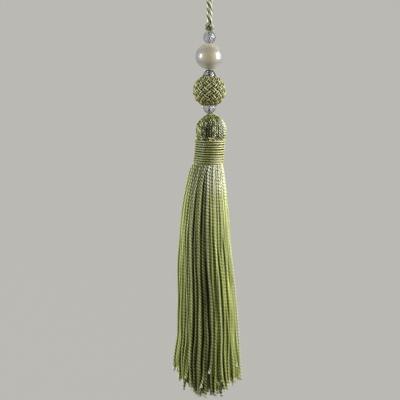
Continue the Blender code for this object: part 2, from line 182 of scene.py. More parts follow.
def smooth_route(points, spacing):
    """Evenly spaced points on a smooth curve (Catmull-Rom) through a route's own points."""
    points = np.array(points, float)
    ends = np.vstack([2 * points[0] - points[1], points, 2 * points[-1] - points[-2]])
    t = np.linspace(0, 1, CURVE_STEPS, endpoint=False)[:, None]
    fine = [
        0.5 * (2 * b + (c - a) * t + (2 * a - 5 * b + 4 * c - d) * t**2
               + (3 * b - a - 3 * c + d) * t**3)
        for a, b, c, d in zip(ends, ends[1:], ends[2:], ends[3:])
    ]
    fine = np.vstack([*fine, points[-1]])
    steps = np.linalg.norm(np.diff(fine, axis=0), axis=1)
    along = np.concatenate([[0], np.cumsum(steps)])
    places = np.linspace(0, along[-1], max(2, round(along[-1] / spacing)) + 1)
    return np.column_stack([np.interp(places, along, fine[:, axis]) for axis in range(3)])


def carried_frame(route):
    """Directions along a route, and two more square to it that turn no more than it does."""
    ahead = np.gradient(route, axis=0)
    ahead /= np.linalg.norm(ahead, axis=1)[:, None]
    side = np.cross(ahead[0], (0.36, 0.80, 0.48))  # a direction in which no route starts
    sides = np.empty_like(route)
    for number, direction in enumerate(ahead):
        side = side - side.dot(direction) * direction
        side = side / math.sqrt(side.dot(side))
        sides[number] = side
    return ahead, sides, np.cross(ahead, sides)


# For one, two or three plies: a ply's radius and its distance from the thread's middle, as
# shares of the thread's thickness
PLY_SHARES = {1: (0.5, 0.0), 2: (0.265, 0.245), 3: (0.32, 0.18)}
PLY_RIDGE = 0.96  # share of a thread's reach at which the groove between plies begins
GROOVE_DEEPEST = 0.8  # shade at the bottom of a groove
SHADE_DEEPEST = 0.97
UNTWISTS_WITHIN = 3  # thicknesses of the thread from its cut end
LIGHT_ENTERS = 2  # thicknesses of the thread over which light comes in at the cut end
CUT_SHADE = 0.15  # share of its shade that the cut end keeps


def laid_threads(name, routes, thickness, lay, tones, plies=2, sides=3, shades=None,
                 fullness=None, untwist=0.0, outwards=None, crowding=None, groove=1.25,
                 turning=None):
    """One mesh of threads along routes, each laid up from plies that turn round each other.

    fullness is the share of its thickness that a thread has at each of its points, and untwist
    how far its plies have come apart at its end, as a share of its thickness. outwards are the
    directions away from the threads that lie beside and under it. A point of the thread that
    faces them by less than the first number of crowding gets painted shade, at the rate of the
    second. groove is the rate of the painted shade between its own plies. turning gives each
    thread's plies their own turn at each of its points, in place of an even lay. groove and the
    second number of crowding may also be lists with a number for each thread.
    """
    radius, offset = (share * thickness for share in PLY_SHARES[plies])
    if sides == 4:  # a ridge outward, and one on the thread's middle
        around = np.radians([-70, 0, 70, 180])
    else:
        around = np.arange(sides) * 2 * math.pi / sides
    longest = max(len(route) for route in routes)
    points, faces, corners, tone_of, shade_of = [], [], [], [], []
    start = 0
    for number, route in enumerate(routes):
        count = len(route)
        ahead, side, across = carried_frame(route)
        along = np.concatenate([[0], np.cumsum(np.linalg.norm(np.diff(route, axis=0), axis=1))])
        full = np.ones(count) if fullness is None else fullness[number]
        to_end = (along[-1] - along) / thickness
        apart = 1 + untwist * np.clip(1 - to_end / UNTWISTS_WITHIN, 0, 1) ** 2
        laid = -2 * math.pi * along / lay if turning is None else turning[number]
        for ply in range(plies):
            angle = laid + 2 * math.pi * ply / plies
            out = np.cos(angle)[:, None] * side + np.sin(angle)[:, None] * across
            beside = np.cross(ahead, out)
            middle = route + out * (offset * full * apart)[:, None]
            ring = (np.cos(around)[None, :, None] * out[:, None, :]
                    + np.sin(around)[None, :, None] * beside[:, None, :])
            places = middle[:, None, :] + ring * (radius * full)[:, None, None]
            points.append(places.reshape(-1, 3))
            index = start + np.arange(count * sides).reshape(count, sides)
            after = np.roll(index, -1, axis=1)
            quads = np.stack([index[:-1], after[:-1], after[1:], index[1:]], axis=-1)
            faces += quads.reshape(-1, 4).tolist()
            faces += [index[0, ::-1].tolist(), index[-1].tolist()]
            column = (number + (ply + np.arange(sides + 1) / sides) / plies) / len(routes)
            height = np.arange(count) / longest
            u_low, u_high = column[:-1], column[1:]
            square = np.empty((count - 1, sides, 4, 2))
            square[..., 0, 0] = square[..., 3, 0] = u_low
            square[..., 1, 0] = square[..., 2, 0] = u_high
            square[..., 0, 1] = square[..., 1, 1] = height[:-1, None]
            square[..., 2, 1] = square[..., 3, 1] = height[1:, None]
            corners.append(square.reshape(-1, 2))
            for end in (height[0], height[-1]):
                corners.append(np.tile([u_low[0], end], (sides, 1)))
            start += count * sides
            # Painted shade: deeper down the grooves between plies, and where a point faces into
            # the threads beside and under it; less of it near a cut end
            from_middle = ((out * offset)[:, None, :] + ring * radius) / (offset + radius)
            rate = np.broadcast_to(groove, len(routes))[number]
            sunk = PLY_RIDGE - np.linalg.norm(from_middle, axis=2)
            own_shade = np.clip(rate * sunk, 0, GROOVE_DEEPEST)
            if outwards is not None:
                facing = (from_middle @ outwards[number][:, :, None])[:, :, 0]
                depth_rate = np.broadcast_to(crowding[1], len(routes))[number]
                own_shade += np.clip((crowding[0] - facing) * depth_rate, 0, 1)
            if untwist:
                own_shade *= np.clip(to_end / LIGHT_ENTERS, CUT_SHADE, 1)[:, None]
            thread_shade = np.broadcast_to(0.0 if shades is None else shades[number], count)
            own_shade = own_shade + thread_shade[:, None]
            shade_of.append(np.clip(own_shade, 0, SHADE_DEEPEST).ravel())
            tone_of.append(np.repeat(np.broadcast_to(tones[number], count), sides))
    mesh = bpy.data.meshes.new(name)
    mesh.from_pydata(np.vstack(points), [], faces)
    uv_map = mesh.uv_layers.new(name="OFBake")
    uv_map.data.foreach_set("uv", np.vstack(corners).astype(np.float32).ravel())
    for attribute, values in (("tone", tone_of), ("shade", shade_of)):
        stored = mesh.attributes.new(attribute, "FLOAT", "POINT")
        stored.data.foreach_set("value", np.concatenate(values).astype(np.float32))
    mesh.shade_smooth()
    piece = bpy.data.objects.new(name, mesh)
    bpy.context.scene.collection.objects.link(piece)
    return piece


def outward_from(route, middle):
    """Directions to a route from a point, or from the upright axis below it."""
    away = route - middle
    away[:, 2] = np.maximum(away[:, 2], 0)
    return away / np.maximum(np.linalg.norm(away, axis=1), 0.1 * MM)[:, None]


def fit(piece, material, node):
    """Gives a piece its material and slot, and lets it stand for a CAD node on the one body."""
    piece.data.materials.append(material)
    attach(piece, "root")
    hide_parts(node)


twisted_by = 2 * math.pi * (TWIST_TOP - CORD_FOOT_Z) / TWIST_PITCH
right_leg = [
    (
        LEG_OFFSET * math.cos(angle),
        LEG_OFFSET * math.sin(angle),
        TWIST_TOP - angle / (2 * math.pi) * TWIST_PITCH,
    )
    for angle in np.arange(twisted_by, 0, -TWIST_STEP)
]
right_leg[0] = (*right_leg[1][:2], right_leg[0][2])  # it ends upright, on the knot
right_leg.append((LEG_OFFSET, 0, TWIST_TOP))
right_leg += [(half_width * MM, 0, height * MM) for height, half_width in LOOP_SIDE]
left_leg = [(-x, -y, z) for x, y, z in right_leg[-2::-1]]
cord_route = smooth_route(right_leg + left_leg, CORD_POINT_STEP)

# In the twist, the plies face the middle all the way. Over the free loop they turn at their own
# lay, and reach the other leg at the turn that it starts with.
ahead, side, across = carried_frame(cord_route)
round_twist = np.cross((0, 0, 1), cord_route * (1, 1, 0))
turning = np.unwrap(np.arctan2((round_twist * across).sum(1), (round_twist * side).sum(1)))
free = np.flatnonzero(cord_route[:, 2] > TWIST_TOP)
first, last = free[0], free[-1]
free_length = np.linalg.norm(np.diff(cord_route[first:last + 1], axis=0), axis=1).sum()
wanted = turning[last] - turning[first]
wanted -= 2 * math.pi * round(free_length / CORD_LAY + wanted / (2 * math.pi))
turning[last:] += turning[first] + wanted - turning[last]
turning[first:last] = np.linspace(turning[first], turning[last], last - first, endpoint=False)

# Mercerised rayon cord, laid up from bright filament: pale green with a cream gloss
cord_rayon = thread_material(
    "pale_rayon_cord", "#181D04", "#737A40", "#AEB284", filament=0.02, roughness=0.3, gloss=0.7
)
# Painted shade between the plies and where a leg faces into the twist; over the free loop, where
# no other leg lies beside it, it is taken off
loose = np.interp(cord_route[:, 2] / MM, TWIST_LOOSENS, (0.0, 1.0))
cord = laid_threads(
    "hanging_cord_plies", [cord_route], TWISTED_DIAMETER, CORD_LAY, sides=10, tones=[0.6],
    shades=[-TWIST_SHADE * loose], fullness=[1 - loose * (1 - LEG_DIAMETER / TWISTED_DIAMETER)],
    turning=[turning], outwards=[outward_from(cord_route, (0, 0, 0))], crowding=(0.45, 1.3),
    groove=0.8,
)
fit(cord, cord_rayon, "hanging_cord")

# ---- Knot ----
# The two legs of the same cord, tied in one overhand knot above the first bead. Drawn tight,
# its turns are thinner than the free cord and leave small dark pits between them.

KNOT_CORD_DIAMETER = 1.7 * MM
KNOT_LAY = 6 * MM
KNOT_POINT_STEP = 0.3 * MM

# Routes of the cord in the knot, in mm from its middle: across, back, up
KNOT_ROUTES = (
    (  # left leg
        (-0.92, -0.23, 2.35),
        (-0.95, -0.25, 1.80),
        (-1.40, -0.55, 1.25),
        (-2.00, -0.50, 0.15),
        (-1.60, -0.20, -0.90),
        (-0.75, 0.00, -1.45),
        (-0.60, 0.00, -2.15),
    ),
    (  # right leg
        (0.92, 0.23, 2.35),
        (0.92, 0.20, 1.65),
        (0.80, -0.35, 1.15),
        (0.95, -0.90, 0.85),
        (1.70, -0.65, 0.55),
        (1.95, 0.35, 0.00),
        (0.75, 1.25, -0.35),
        (-0.60, 0.85, -0.55),
        (-0.45, -0.60, -0.85),
        (0.85, -1.00, -0.95),
        (1.60, -0.25, -1.00),
        (0.90, 0.10, -1.12),
        (0.60, 0.00, -2.15),
    ),
    (  # the turn inside
        (0.55, 0.25, 1.30),
        (-0.60, 0.45, 0.95),
        (-0.70, -0.30, 0.60),
        (0.30, -0.55, 0.30),
        (0.80, 0.30, 0.00),
        (-0.20, 0.70, -0.30),
        (-0.75, 0.00, -0.60),
        (0.20, -0.40, -0.90),
    ),
)

knot_routes = [
    smooth_route(np.array(points) * MM + (0, 0, KNOT_Z), KNOT_POINT_STEP)
    for points in KNOT_ROUTES
]
# Painted light and shade: the right leg is painted bright over the front and darker where it
# sinks into the knot behind it; the left leg and the turn inside carry painted shade, and each
# turn is darker between its plies
sunk = np.interp(np.linspace(0, 1, len(knot_routes[1])), (0.33, 0.46), (0.0, 1.0))
knot = laid_threads(
    "knot_turns", knot_routes, KNOT_CORD_DIAMETER, KNOT_LAY, plies=3, sides=8,
    tones=[0.3, 0.7 * (1 - sunk), 0.0], shades=[0.2, 0.7 * sunk, 0.9], groove=2.0,
)
fit(knot, cord_rayon, "knot")

# ---- Stringing cord ----
# The two legs run on side by side through the beads, hidden but for the glass ones and the
# short bare stretch on top of the head.

STRINGING_LEG = 0.84 * MM
STRINGING_TOP_Z = -48.0 * MM
STRINGING_SIDE_Z = -74.0 * MM  # where the paler leg lies to the right of the other
STRINGING_LAY = 92 * MM
STRINGING_POINTS = 80
HEAD_TOP_Z = -95.95 * MM

height = np.linspace(STRINGING_TOP_Z, HEAD_TOP_Z - 1 * MM, STRINGING_POINTS)
angle = -2 * math.pi * (height - STRINGING_SIDE_Z) / STRINGING_LAY
pale_leg = np.column_stack([np.cos(angle), np.sin(angle), 0 * angle]) * STRINGING_LEG / 2
upright = np.column_stack([0 * height, 0 * height, height])
# One leg is made paler and the other darker, with painted shade, though both are the same cord
stringing = laid_threads(
    "stringing_cord_legs", [upright + pale_leg, upright - pale_leg], STRINGING_LEG, KNOT_LAY,
    sides=6, tones=[1.0, 0.2], shades=[0.0, 0.3],
)
fit(stringing, cord_rayon, "stringing_cord")

# ---- Glass beads ----
# Three colourless crystal glass beads, 8 mm across, with flat ground facets round a drilled
# bore. The facets are polished, so they flash white or dark as they bend the light.

GLASS_SCRATCH = 0.4 * MM  # spacing of the haze left by polishing, coarser than life to show

# Colourless cut crystal: clear, with a faint haze that keeps its flashes soft. Its index is
# under that of lead crystal, so that fewer of the small facets turn black.
glass, tree, shader = new_material("cut_crystal_glass")
coordinates = add_node(tree, "ShaderNodeTexCoord")
haze = add_node(
    tree, "ShaderNodeTexNoise",
    {"Vector": coordinates.outputs["Object"], "Scale": 1 / GLASS_SCRATCH, "Detail": 3.0},
)
dulled = add_node(
    tree, "ShaderNodeMapRange", {"Value": haze.outputs["Fac"], "To Min": 0.08, "To Max": 0.24}
)
tree.links.new(dulled.outputs["Result"], shader.inputs["Roughness"])
shader.inputs["Base Color"].default_value = linear("#E2E2E8")
shader.inputs["Transmission Weight"].default_value = 1.0
shader.inputs["IOR"].default_value = 1.42
for name in ("crystal_top", "crystal_middle", "crystal_bottom"):
    nodes[name].data.materials.clear()
    nodes[name].data.materials.append(glass)

# ---- Pearl ----
# A round imitation pearl, 16 mm across and a little flat at its drilled poles: a glass core
# dipped in pearl essence, which gives a soft deep gloss with a cream to rose cast.

PEARL_Z = -62.55 * MM
PEARL_RADIUS = 8.05 * MM
PEARL_HALF = 7.5 * MM
BORE_RADIUS = 1.15 * MM
PEARL_ARC_POINTS = 64
PEARL_STEPS = 96
PEARL_CLOUD = 7 * MM  # size of the faint clouds in the essence
PEARL_PALES = (0.45 * PEARL_HALF, 0.95 * PEARL_HALF)  # heights from its middle, see below


def spun(profile, steps, closed=True, merged=0.001 * MM):
    """A bmesh spun round the upright axis from its outline, in points of radius and height.

    closed joins the outline's last point to its first, as round a bore. Points nearer than
    merged become one, which closes the poles of an open outline.
    """
    bm = bmesh.new()
    corners = [bm.verts.new((radius, 0, height)) for radius, height in profile]
    following = corners[1:] + corners[:1] if closed else corners[1:]
    outline = [bm.edges.new(pair) for pair in zip(corners, following)]
    bmesh.ops.spin(
        bm, geom=corners + outline, cent=(0, 0, 0), axis=(0, 0, 1), dvec=(0, 0, 0),
        angle=2 * math.pi, steps=steps, use_merge=True,
    )
    bmesh.ops.remove_doubles(bm, verts=bm.verts, dist=merged)
    return bm


def finished(bm, name):
    """A smooth object of a bmesh, with its faces pointing outwards."""
    bmesh.ops.recalc_face_normals(bm, faces=bm.faces)
    mesh = bpy.data.meshes.new(name)
    bm.to_mesh(mesh)
    bm.free()
    mesh.shade_smooth()
    piece = bpy.data.objects.new(name, mesh)
    bpy.context.scene.collection.objects.link(piece)
    return piece


bore_polar = math.asin(BORE_RADIUS / PEARL_RADIUS)
pearl_profile = [
    (
        PEARL_RADIUS * math.sin(polar),
        PEARL_Z + PEARL_HALF * math.cos(polar) / math.cos(bore_polar),
    )
    for polar in np.linspace(bore_polar, math.pi - bore_polar, PEARL_ARC_POINTS)
]
pearl = finished(spun(pearl_profile, PEARL_STEPS), "pearl_nacre")
pearl.data.set_sharp_from_angle(angle=math.radians(50))  # at the bore's rims

# Pearl essence in clear lacquer: cream and a little cloudy where it is seen squarely. A silver
# grey rim is painted sheen, by the angle of view, and the rim is painted paler near the bores,
# painted light at its top and bottom
nacre, tree, shader = new_material("pearl_essence_lacquer")
coordinates = add_node(tree, "ShaderNodeTexCoord")
clouds = add_node(
    tree, "ShaderNodeTexNoise",
    {"Vector": coordinates.outputs["Object"], "Scale": 1 / PEARL_CLOUD, "Detail": 2.0},
)
cast = add_node(
    tree, "ShaderNodeMix",
    {0: clouds.outputs["Fac"], 6: linear("#94896A"), 7: linear("#A09A80")},
    data_type="RGBA",
)
placed = add_node(tree, "ShaderNodeSeparateXYZ", {"Vector": coordinates.outputs["Object"]})
above = add_node(
    tree, "ShaderNodeMath", {0: placed.outputs["Z"], 1: PEARL_Z}, operation="SUBTRACT"
)
from_middle = add_node(tree, "ShaderNodeMath", {0: above.outputs["Value"]}, operation="ABSOLUTE")
# Painted light: the rim is paler towards the top and bottom
near_bores = add_node(
    tree, "ShaderNodeMapRange",
    {"Value": from_middle.outputs["Value"], "From Min": PEARL_PALES[0],
     "From Max": PEARL_PALES[1]},
)
rim = add_node(
    tree, "ShaderNodeMix",
    {0: near_bores.outputs["Result"], 6: linear("#757473"), 7: linear("#B0A78E")},
    data_type="RGBA",
)
# Painted sheen: where the surface is seen aslant, the colour turns to the rim's
lustre = add_node(tree, "ShaderNodeLayerWeight", {"Blend": 0.5})
slant = add_node(
    tree, "ShaderNodeMapRange",
    {"Value": lustre.outputs["Facing"], "From Min": 0.03, "From Max": 0.35},
)
orient = add_node(
    tree, "ShaderNodeMix",
    {0: slant.outputs["Result"], 6: cast.outputs[2], 7: rim.outputs[2]},
    data_type="RGBA",
)
tree.links.new(orient.outputs[2], shader.inputs["Base Color"])
shader.inputs["Roughness"].default_value = 0.45
shader.inputs["Specular IOR Level"].default_value = 0.4
shader.inputs["Specular Tint"].default_value = linear("#EEECF8")
shader.inputs["Coat Weight"].default_value = 0.6
shader.inputs["Coat Roughness"].default_value = 0.09
shader.inputs["Coat IOR"].default_value = 1.5
shader.inputs["Sheen Weight"].default_value = 0.1
shader.inputs["Sheen Roughness"].default_value = 0.4
fit(pearl, nacre, "pearl")

# ---- Woven ball ----
# One long thread worked twice round a core in a Turk's head of 12 bights and 11 leads, so that
# bands of two threads cross over and under, and turn back at the rim of each hole.

BALL_Z = -82.60 * MM
BALL_RADIUS = 9.85 * MM
BALL_BIGHTS = 12
BALL_LEADS = 11
BALL_RIM = math.radians(24.5)  # polar angle at which the bands turn back
BALL_THREAD = 1.3 * MM
BALL_SPACING = 1.5 * MM
BALL_LAY = 3.4 * MM
BALL_WAVE = 0.5 * MM  # how far a band rises and dips from its middle height
BALL_SAMPLES = 6  # points between two crossings
BALL_BEND = 0.97  # below 1, rounds the turns at the rims
BALL_RIM_ROOM = 0.62  # share of its thickness and spacing that a thread has at the poles
BALL_FLATTENS = 0.8  # crossings from a rim within which a band no longer rises and dips
BALL_DIP_SHADE = 0.35  # painted shade where a band lies under another
CORE_RADIUS = 7.75 * MM
CORE_STEPS = 64

places = np.arange(0, 2 * BALL_BIGHTS * BALL_LEADS * BALL_SAMPLES + 1) / BALL_SAMPLES
swing = -np.arcsin(BALL_BEND * np.cos(math.pi * places / BALL_LEADS)) / math.asin(BALL_BEND)
polar = math.pi / 2 + swing * (math.pi / 2 - BALL_RIM)
longitude = 2 * math.pi * (places / 2) / BALL_BIGHTS
lap = places % (2 * BALL_LEADS)
from_rim = np.minimum(lap % BALL_LEADS, BALL_LEADS - lap % BALL_LEADS)
crossing = np.where(lap < BALL_LEADS, -1, 1) * np.cos(math.pi * lap)
lift = crossing * np.clip(from_rim / BALL_FLATTENS, 0, 1) * BALL_WAVE
outward = np.column_stack([
    np.sin(polar) * np.cos(longitude), np.sin(polar) * np.sin(longitude), np.cos(polar)
])
ahead = np.gradient(outward, axis=0)
ahead /= np.linalg.norm(ahead, axis=1)[:, None]
beside = np.cross(outward, ahead)
room = BALL_RIM_ROOM + (1 - BALL_RIM_ROOM) * np.sin(polar)
ball_routes = []
for thread in (-0.5, 0.5):
    shifted = outward * BALL_RADIUS + beside * (thread * BALL_SPACING * room)[:, None]
    shifted /= np.linalg.norm(shifted, axis=1)[:, None]
    radius = BALL_RADIUS - BALL_WAVE - BALL_THREAD / 2 + lift
    ball_routes.append(shifted * radius[:, None] + (0, 0, BALL_Z))
# Painted shade where a band dips under another, and at the sides of each thread where it meets
# the next
woven = laid_threads(
    "woven_ball_threads", ball_routes, BALL_THREAD, BALL_LAY, plies=3, sides=5,
    tones=[0.2, 0.8], shades=[BALL_DIP_SHADE * np.clip(-lift / BALL_WAVE, 0, 1)] * 2,
    fullness=[room] * 2, outwards=[outward] * 2, crowding=(0.8, 3.0), groove=0.9,
)
# Gold-green gimp: a fine rayon thread wound round a core, so it glitters in short dashes
ball_gimp = thread_material(
    "gold_green_gimp_thread", "#0B0D01", "#646E18", "#CCC672", filament=0.03, roughness=0.3,
    gloss=0.7,
)
fit(woven, ball_gimp, "woven_ball")

# Core under the threads, with a hollow at each pole that seats a glass bead, and its bore
core_profile = [
    (CORE_RADIUS * math.sin(polar), CORE_RADIUS * math.cos(polar))
    for polar in np.linspace(math.radians(31), math.radians(149), 32)
]
core_profile += [(3.6 * MM, -6.9 * MM), (BORE_RADIUS, -5.9 * MM), (BORE_RADIUS, 5.1 * MM),
                 (3.6 * MM, 6.4 * MM)]
ball_core = finished(
    spun([(radius, BALL_Z + height) for radius, height in core_profile], CORE_STEPS),
    "woven_ball_core",
)

CORE_YARN = 0.8 * MM  # thickness of the yarn that pads the ball and the head
YARN_SCALE = 0.314 / CORE_YARN  # the wave texture repeats after 0.314 of its own units

# Olive cotton yarn, wound hard and matt. Its near-black colour is painted shade: it shows only
# as the deep shadow between the threads over it
padding, tree, shader = new_material("cotton_padding_yarn_painted_shade")
coordinates = add_node(tree, "ShaderNodeTexCoord")
yarns = add_node(
    tree, "ShaderNodeTexWave",
    {"Vector": coordinates.outputs["Object"], "Scale": YARN_SCALE, "Distortion": 3.0,
     "Detail": 2.0, "Detail Scale": 1.5},
    bands_direction="DIAGONAL",
)
wound = add_node(
    tree, "ShaderNodeMix",
    {0: yarns.outputs["Fac"], 6: linear("#15170A"), 7: linear("#2C2E14")},
    data_type="RGBA",
)
ridges = add_node(
    tree, "ShaderNodeBump",
    {"Height": yarns.outputs["Fac"], "Strength": 0.6, "Distance": 0.2 * MM},
)
tree.links.new(wound.outputs[2], shader.inputs["Base Color"])
tree.links.new(ridges.outputs["Normal"], shader.inputs["Normal"])
shader.inputs["Roughness"].default_value = 0.9
fit(ball_core, padding, "woven_ball")

# ---- Head ----
# The tassel's strands are laid over the stringing cord and folded down to the left and to the
# right, so the head is a dome of strands with a cleft where the two halves meet, a little to
# the left in front. They come together under the lowest glass bead.

STRAND_LAY = 3.9 * MM  # a little longer than life, so that the twist shows
HEAD_LAY = 3.0 * MM  # on the head the strands are slack and their plies turn more closely
HEAD_STRAND = 1.25 * MM
HEAD_STRANDS = 44
CLEFT_DEPTH = 1.0 * MM
CLEFT_WIDTH = math.radians(11)
CLEFT_GAP = math.radians(4)  # half the angle that the two halves leave open
CLEFT_SHIFT = math.radians(11)  # to the left, in front
BINDING_DEPTH = 22.2  # mm from the top of the head to the binding's middle
BINDING_Z = HEAD_TOP_Z - BINDING_DEPTH * MM
LEAN_DEGREES = 4.5  # the head leans to the right of the skirt
LEAN = math.radians(LEAN_DEGREES)
NECK_RADIUS = 7.65 * MM
HEAD_ENDS = ((1.07, 7.3), (0.93, 4.6))  # in the neck: share of its radius, mm above its middle
HEAD_MIDDLE_X = 1 * MM
HEAD_THINS = 7.6 * MM  # reach within which a strand grows thinner towards the top
HEAD_THINNEST = 0.32
HEAD_SCATTER = 0.16  # how far strands lie from even spacing, in spacings
HEAD_UNEVEN = 0.7 * MM  # how much deeper than the surface a strand may lie
HEAD_POINT_STEP = 0.45 * MM

# Head from its top, in mm and degrees: depth, reach to the left and to the right of the cord,
# half the thickness front to back, lean, share of the cleft
HEAD_SECTIONS = (
    (0.0, 1.3, 1.7, 1.5, 0, 0.0),
    (0.7, 2.1, 3.9, 2.9, 0, 0.0),
    (2.0, 3.8, 6.3, 4.9, 1, 0.0),
    (3.6, 5.4, 8.1, 6.6, 2, 0.3),
    (5.4, 6.7, 9.3, 7.8, 3, 0.7),
    (7.6, 7.8, 10.25, 8.8, 4, 1.0),
    (10.2, 8.1, 10.3, 9.1, 4.5, 1.0),
    (12.6, 7.9, 10.1, 8.9, 4.5, 1.0),
    (13.9, 7.7, 9.4, 8.4, 4.5, 0.5),
)


def on_section(across, back, section):
    """A point of the unit disc, placed on a section of the tassel."""
    depth, left, right, thickness, lean = section
    reach = (left + right) / 2 * across
    tilt = np.radians(lean)
    return np.stack([
        (right - left) / 2 + reach * np.cos(tilt),
        thickness * back,
        -depth - reach * np.sin(tilt),
    ], axis=-1) * MM + (0, 0, HEAD_TOP_Z)


def on_neck(across, back, height):
    """A point of the unit disc, placed in the neck at a height from the binding's middle."""
    return np.array([
        height * math.sin(LEAN) + NECK_RADIUS * across * math.cos(LEAN),
        NECK_RADIUS * back,
        BINDING_Z + height * math.cos(LEAN) - NECK_RADIUS * across * math.sin(LEAN),
    ])


def over_head(side, spread, sunk):
    """The route of one strand down the head.

    side is 0 for the right half and pi for the left, spread goes from -1 to 1 across the half,
    and sunk is its depth below the head's surface.
    """
    route = []
    for *section, cleft_share in HEAD_SECTIONS:
        angle = side + spread * (math.pi / 2 - CLEFT_GAP * cleft_share)
        angle -= CLEFT_SHIFT * cleft_share * max(0, -math.sin(angle)) ** 3
        from_cleft = (1 - abs(spread)) * math.pi / 2 / CLEFT_WIDTH
        cut = CLEFT_DEPTH * cleft_share * math.exp(-(from_cleft**2))
        thickness = section[3] * MM
        kept = 1 - (min(sunk, thickness * 0.25) + cut) / thickness
        route.append(on_section(math.cos(angle) * kept, math.sin(angle) * kept, section))
    angle = side + spread * math.pi / 2
    across, back = math.cos(angle), math.sin(angle)
    tucked = on_section(0.5 * across, 0.5 * back, (0.6, 1.3, 1.7, 1.5, 0))
    neck = [on_neck(share * across, share * back, height * MM) for share, height in HEAD_ENDS]
    return smooth_route([tucked, *route, *neck], HEAD_POINT_STEP)


rng = np.random.default_rng(11)
head_routes, head_fullness, head_tones, head_shades = [], [], [], []
for number in range(HEAD_STRANDS):
    half, place = divmod(number, HEAD_STRANDS // 2)
    spread = (place + 0.5 + rng.normal(0, HEAD_SCATTER)) / (HEAD_STRANDS // 2) * 2 - 1
    route = over_head(math.pi * half, spread, HEAD_STRAND / 2 + rng.uniform(0, HEAD_UNEVEN))
    from_middle = np.linalg.norm(route[:, :2] - (HEAD_MIDDLE_X, 0), axis=1)
    head_routes.append(route)
    head_fullness.append(np.clip(from_middle / HEAD_THINS, HEAD_THINNEST, 1.0))
    down = (HEAD_TOP_Z - route[:, 2]) / MM
    patchy = np.sin(2 * math.pi * down / rng.uniform(3.4, 5.4) + rng.uniform(0, 2 * math.pi))
    # Painted sheen: to the right of the cleft, where the floss faces the light, the tone is
    # raised and the painted shade taken off
    shine = np.interp(route[:, 0] / MM, (-2, 3, 5, 8), (0.0, 0.15, 0.95, 1.0))
    shine = shine * np.interp(down, (3, 6, 10, 13), (0.0, 1.0, 1.0, 0.4))
    # Tone and painted shade at random and in patches along each strand; the left half, away from
    # the light, is painted darker
    head_tones.append(np.clip(rng.uniform(0.0, 0.5 - 0.2 * half) + shine + 0.3 * patchy, 0, 1))
    deep = rng.choice([0.0, 0.1, 0.6] if half == 0 else [0.1, 0.5, 0.8])
    head_shades.append(np.clip(deep - 0.5 * patchy, 0, 0.9) * (1 - 0.8 * shine))

# Rayon floss, two plies, dyed one green. Its tone runs from olive to cream, partly at random
# and partly as painted sheen where it shines; painted shade draws it to the dark colour
strand_rayon = thread_material(
    "green_rayon_floss", "#161C03", "#C2CE34", "#F1F2C4", filament=0.004, roughness=0.23,
    gloss=0.75,
)
head_middle = (HEAD_MIDDLE_X, 0, HEAD_TOP_Z - 9 * MM)
# Painted shade between plies, and where a strand faces the strands beside and under it
head = laid_threads(
    "head_strands", head_routes, HEAD_STRAND, HEAD_LAY, sides=4, tones=head_tones,
    shades=head_shades, fullness=head_fullness, crowding=(0.7, 2.2), groove=1.1,
    outwards=[outward_from(route, head_middle) for route in head_routes],
    turning=[2 * math.pi * route[:, 2] / HEAD_LAY + rng.normal(0, 0.9)
             for route in head_routes],
)
fit(head, strand_rayon, "tassel")

# Padding under the strands, down through the binding: depth and radius in mm
PADDING_PROFILE = (
    (0.5, 0.02), (0.6, 1.0), (1.6, 2.7), (3.0, 4.5), (4.6, 5.9), (6.6, 7.1), (9.0, 7.7),
    (11.6, 7.6), (13.4, 7.0), (15.0, 6.4), (29.0, 6.4), (31.0, 6.0), (31.5, 0.02),
)
PADDING_STEPS = 48

bm = spun(
    [(radius * MM, -depth * MM) for depth, radius in PADDING_PROFILE], PADDING_STEPS,
    closed=False, merged=0.03 * MM,
)
table = np.array(HEAD_SECTIONS)
for vert in bm.verts:  # follows the head's own middle and its lean
    depth = -vert.co.z / MM
    left, right = (np.interp(depth, table[:, 0], table[:, column]) for column in (1, 2))
    lean = math.radians(np.interp(depth, (0, 12), (0, LEAN_DEGREES)))
    off = (BINDING_DEPTH - depth) * math.tan(lean)
    if depth < table[-1, 0]:
        off = (right - left) / 2
    vert.co = (
        off * MM + vert.co.x * math.cos(lean),
        vert.co.y,
        HEAD_TOP_Z + vert.co.z - vert.co.x * math.sin(lean),
    )
head_padding = finished(bm, "head_padding")
fit(head_padding, padding, "tassel")

# ---- Binding ----
# The neck is whipped with ten close turns of a twisted three-ply thread, more golden than the
# strands. The turns sag a little to the right, and both ends are drawn back under them.

BINDING_TURNS = 10
BINDING_HALF = 7.65 * MM
BINDING_THREAD = 1.2 * MM
BINDING_OUTER = 9.15 * MM
BINDING_WAIST = 0.3 * MM
BINDING_LAY = 3.9 * MM
BINDING_TILT_TOP = math.radians(1.2)  # across the turns, more at the bottom than at the top
BINDING_TILT_BOTTOM = math.radians(5.2)
TURN_POINTS = 96
HIDDEN_POINTS = 10  # of each end that dives under the turns
DIVE = 9 * MM  # how deep such an end would lie after a whole turn
BINDING_WOBBLE = 0.07 * MM

